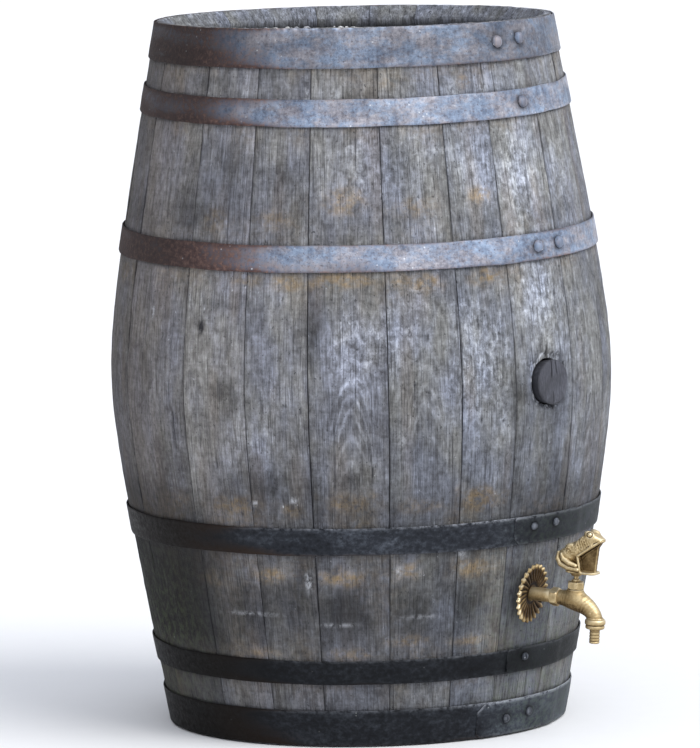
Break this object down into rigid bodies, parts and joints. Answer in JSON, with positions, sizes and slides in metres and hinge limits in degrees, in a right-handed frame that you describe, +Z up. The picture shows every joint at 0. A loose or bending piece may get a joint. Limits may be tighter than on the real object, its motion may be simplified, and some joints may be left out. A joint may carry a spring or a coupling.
{
  "type": "oak wine barrel",
  "caption": "Weathered oak wine barrel on end as a water butt, with riveted steel hoops, open top, wooden bung and a brass garden tap with a frog handle.",
  "frame": {"origin": "centre of the base, on the ground plane", "axes": "+Z up the barrel; -Y is the side that the picture looks at, +X to its right; the bung and the tap are between -Y and +X"},
  "size_m": [0.6758, 0.676, 0.95],
  "materials": {
    "weathered_oak": "silver-grey weathered oak with dark grain and ochre stains",
    "head_oak": "damp dark oak inside the barrel",
    "bung_wood": "dark cracked wood",
    "galvanised_steel": "dull blue-grey zinc with rust along the edges",
    "black_steel": "blackened steel with a worn bright top edge",
    "brass": "satin cast brass, darker in its hollows",
    "rubber": "matt black"
  },
  "bodies": {
    "barrel": {"stave_01": "weathered_oak", "stave_02": "weathered_oak", "stave_03": "weathered_oak", "stave_04": "weathered_oak", "stave_05": "weathered_oak", "stave_06": "weathered_oak", "stave_07": "weathered_oak", "stave_08": "weathered_oak", "stave_09": "weathered_oak", "stave_10": "weathered_oak", "stave_11": "weathered_oak", "stave_12": "weathered_oak", "stave_13": "weathered_oak", "stave_14": "weathered_oak", "stave_15": "weathered_oak", "stave_16": "weathered_oak", "stave_17": "weathered_oak", "stave_18": "weathered_oak", "stave_19": "weathered_oak", "stave_20": "weathered_oak", "stave_21": "weathered_oak", "head_board_1": "head_oak", "head_board_2": "head_oak", "head_board_3": "head_oak", "head_board_4": "head_oak", "head_board_5": "head_oak", "hoop_1_top": "galvanised_steel", "hoop_2_upper_quarter": "galvanised_steel", "hoop_3_upper_bilge": "galvanised_steel", "hoop_4_lower_bilge": "black_steel", "hoop_5_lower_quarter": "black_steel", "hoop_6_bottom": "black_steel", "rivet_1a": "galvanised_steel", "rivet_1b": "galvanised_steel", "rivet_2a": "galvanised_steel", "rivet_3a": "galvanised_steel", "rivet_3b": "galvanised_steel", "rivet_4a": "black_steel", "rivet_4b": "black_steel", "rivet_5a": "black_steel", "rivet_6a": "black_steel", "rivet_6b": "black_steel", "tap_rosette": "brass", "tap_pipe": "brass", "tap_backnut": "brass", "tap_wall_seal": "rubber", "tap_coupling": "brass", "tap_body": "brass", "tap_bonnet": "brass", "tap_stem_seal": "rubber"},
    "bung": {"bung": "bung_wood"},
    "valve": {"tap_jumper": "brass", "tap_washer": "rubber"},
    "handle": {"tap_spindle": "brass", "frog_handle": "brass", "handle_screw": "brass"},
    "hose_tail": {"hose_tail": "brass", "hose_washer": "rubber"},
    "union_nut": {"hose_union_nut": "brass"}
  },
  "joints": [
    {"name": "bung_pull", "type": "slide", "parent": "barrel", "child": "bung", "axis": [0.7361, -0.6769, 0], "range_m": [0, 0.06]},
    {"name": "valve_lift", "type": "slide", "parent": "barrel", "child": "valve", "axis": [0.0604, -0.0349, 0.9976], "range_m": [0, 0.003]},
    {"name": "handle_turn", "type": "hinge", "parent": "valve", "child": "handle", "pos_m": [0.27595, -0.25196, 0.18942], "axis": [0.0604, -0.0349, 0.9976], "range_deg": [0, 540]},
    {"name": "hose_tail_drop", "type": "slide", "parent": "barrel", "child": "hose_tail", "axis": [-0.0604, 0.0349, -0.9976], "range_m": [0, 0.0054]},
    {"name": "union_nut_turn", "type": "hinge", "parent": "hose_tail", "child": "union_nut", "pos_m": [0.30282, -0.26748, 0.18725], "axis": [-0.0604, 0.0349, -0.9976], "range_deg": [0, 1080]}
  ],
  "couplings": [
    {"joint": "valve_lift", "follows": "handle_turn", "m_per_rad": 0.00031831},
    {"joint": "hose_tail_drop", "follows": "union_nut_turn", "m_per_rad": 0.00028648}
  ]
}
